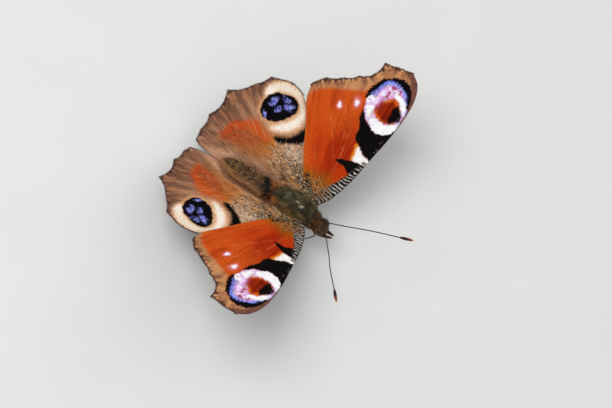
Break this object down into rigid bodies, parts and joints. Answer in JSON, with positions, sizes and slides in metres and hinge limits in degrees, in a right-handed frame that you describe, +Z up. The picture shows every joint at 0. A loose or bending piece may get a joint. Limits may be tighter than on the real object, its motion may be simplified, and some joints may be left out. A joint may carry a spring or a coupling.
{
  "type": "peacock butterfly",
  "caption": "Still, life-size peacock butterfly standing on its legs with its eyespotted wings half open.",
  "frame": {"origin": "on the floor, under the middle of the butterfly's box", "axes": "+X towards the butterfly's left, -Y ahead of its head, +Z up"},
  "size_m": [0.058, 0.0432, 0.0205],
  "materials": {
    "fur": "dense short brown-black fur with golden hairs",
    "chitin": "smooth dark brown chitin with fine pale scales",
    "eye": "glossy dark compound eye with fine facets",
    "forewing": "matt scales, orange-red with eyespot above and dark marbled brown below",
    "hindwing": "matt scales, grey-brown with blue-centred eyespot above and dark marbled brown below"
  },
  "bodies": {
    "root": {"abdomen": "fur", "antenna_left": "chitin", "antenna_right": "chitin", "eye_left": "eye", "eye_right": "eye", "foreleg_left": "fur", "foreleg_right": "fur", "forewing_left": "forewing", "forewing_right": "forewing", "head": "fur", "hindleg_femur_left": "chitin", "hindleg_femur_right": "chitin", "hindleg_tarsus_left": "chitin", "hindleg_tarsus_right": "chitin", "hindleg_tibia_left": "chitin", "hindleg_tibia_right": "chitin", "hindwing_left": "hindwing", "hindwing_right": "hindwing", "midleg_femur_left": "chitin", "midleg_femur_right": "chitin", "midleg_tarsus_left": "chitin", "midleg_tarsus_right": "chitin", "midleg_tibia_left": "chitin", "midleg_tibia_right": "chitin", "palp_left": "fur", "palp_right": "fur", "proboscis": "chitin", "thorax": "fur"}
  },
  "joints": []
}
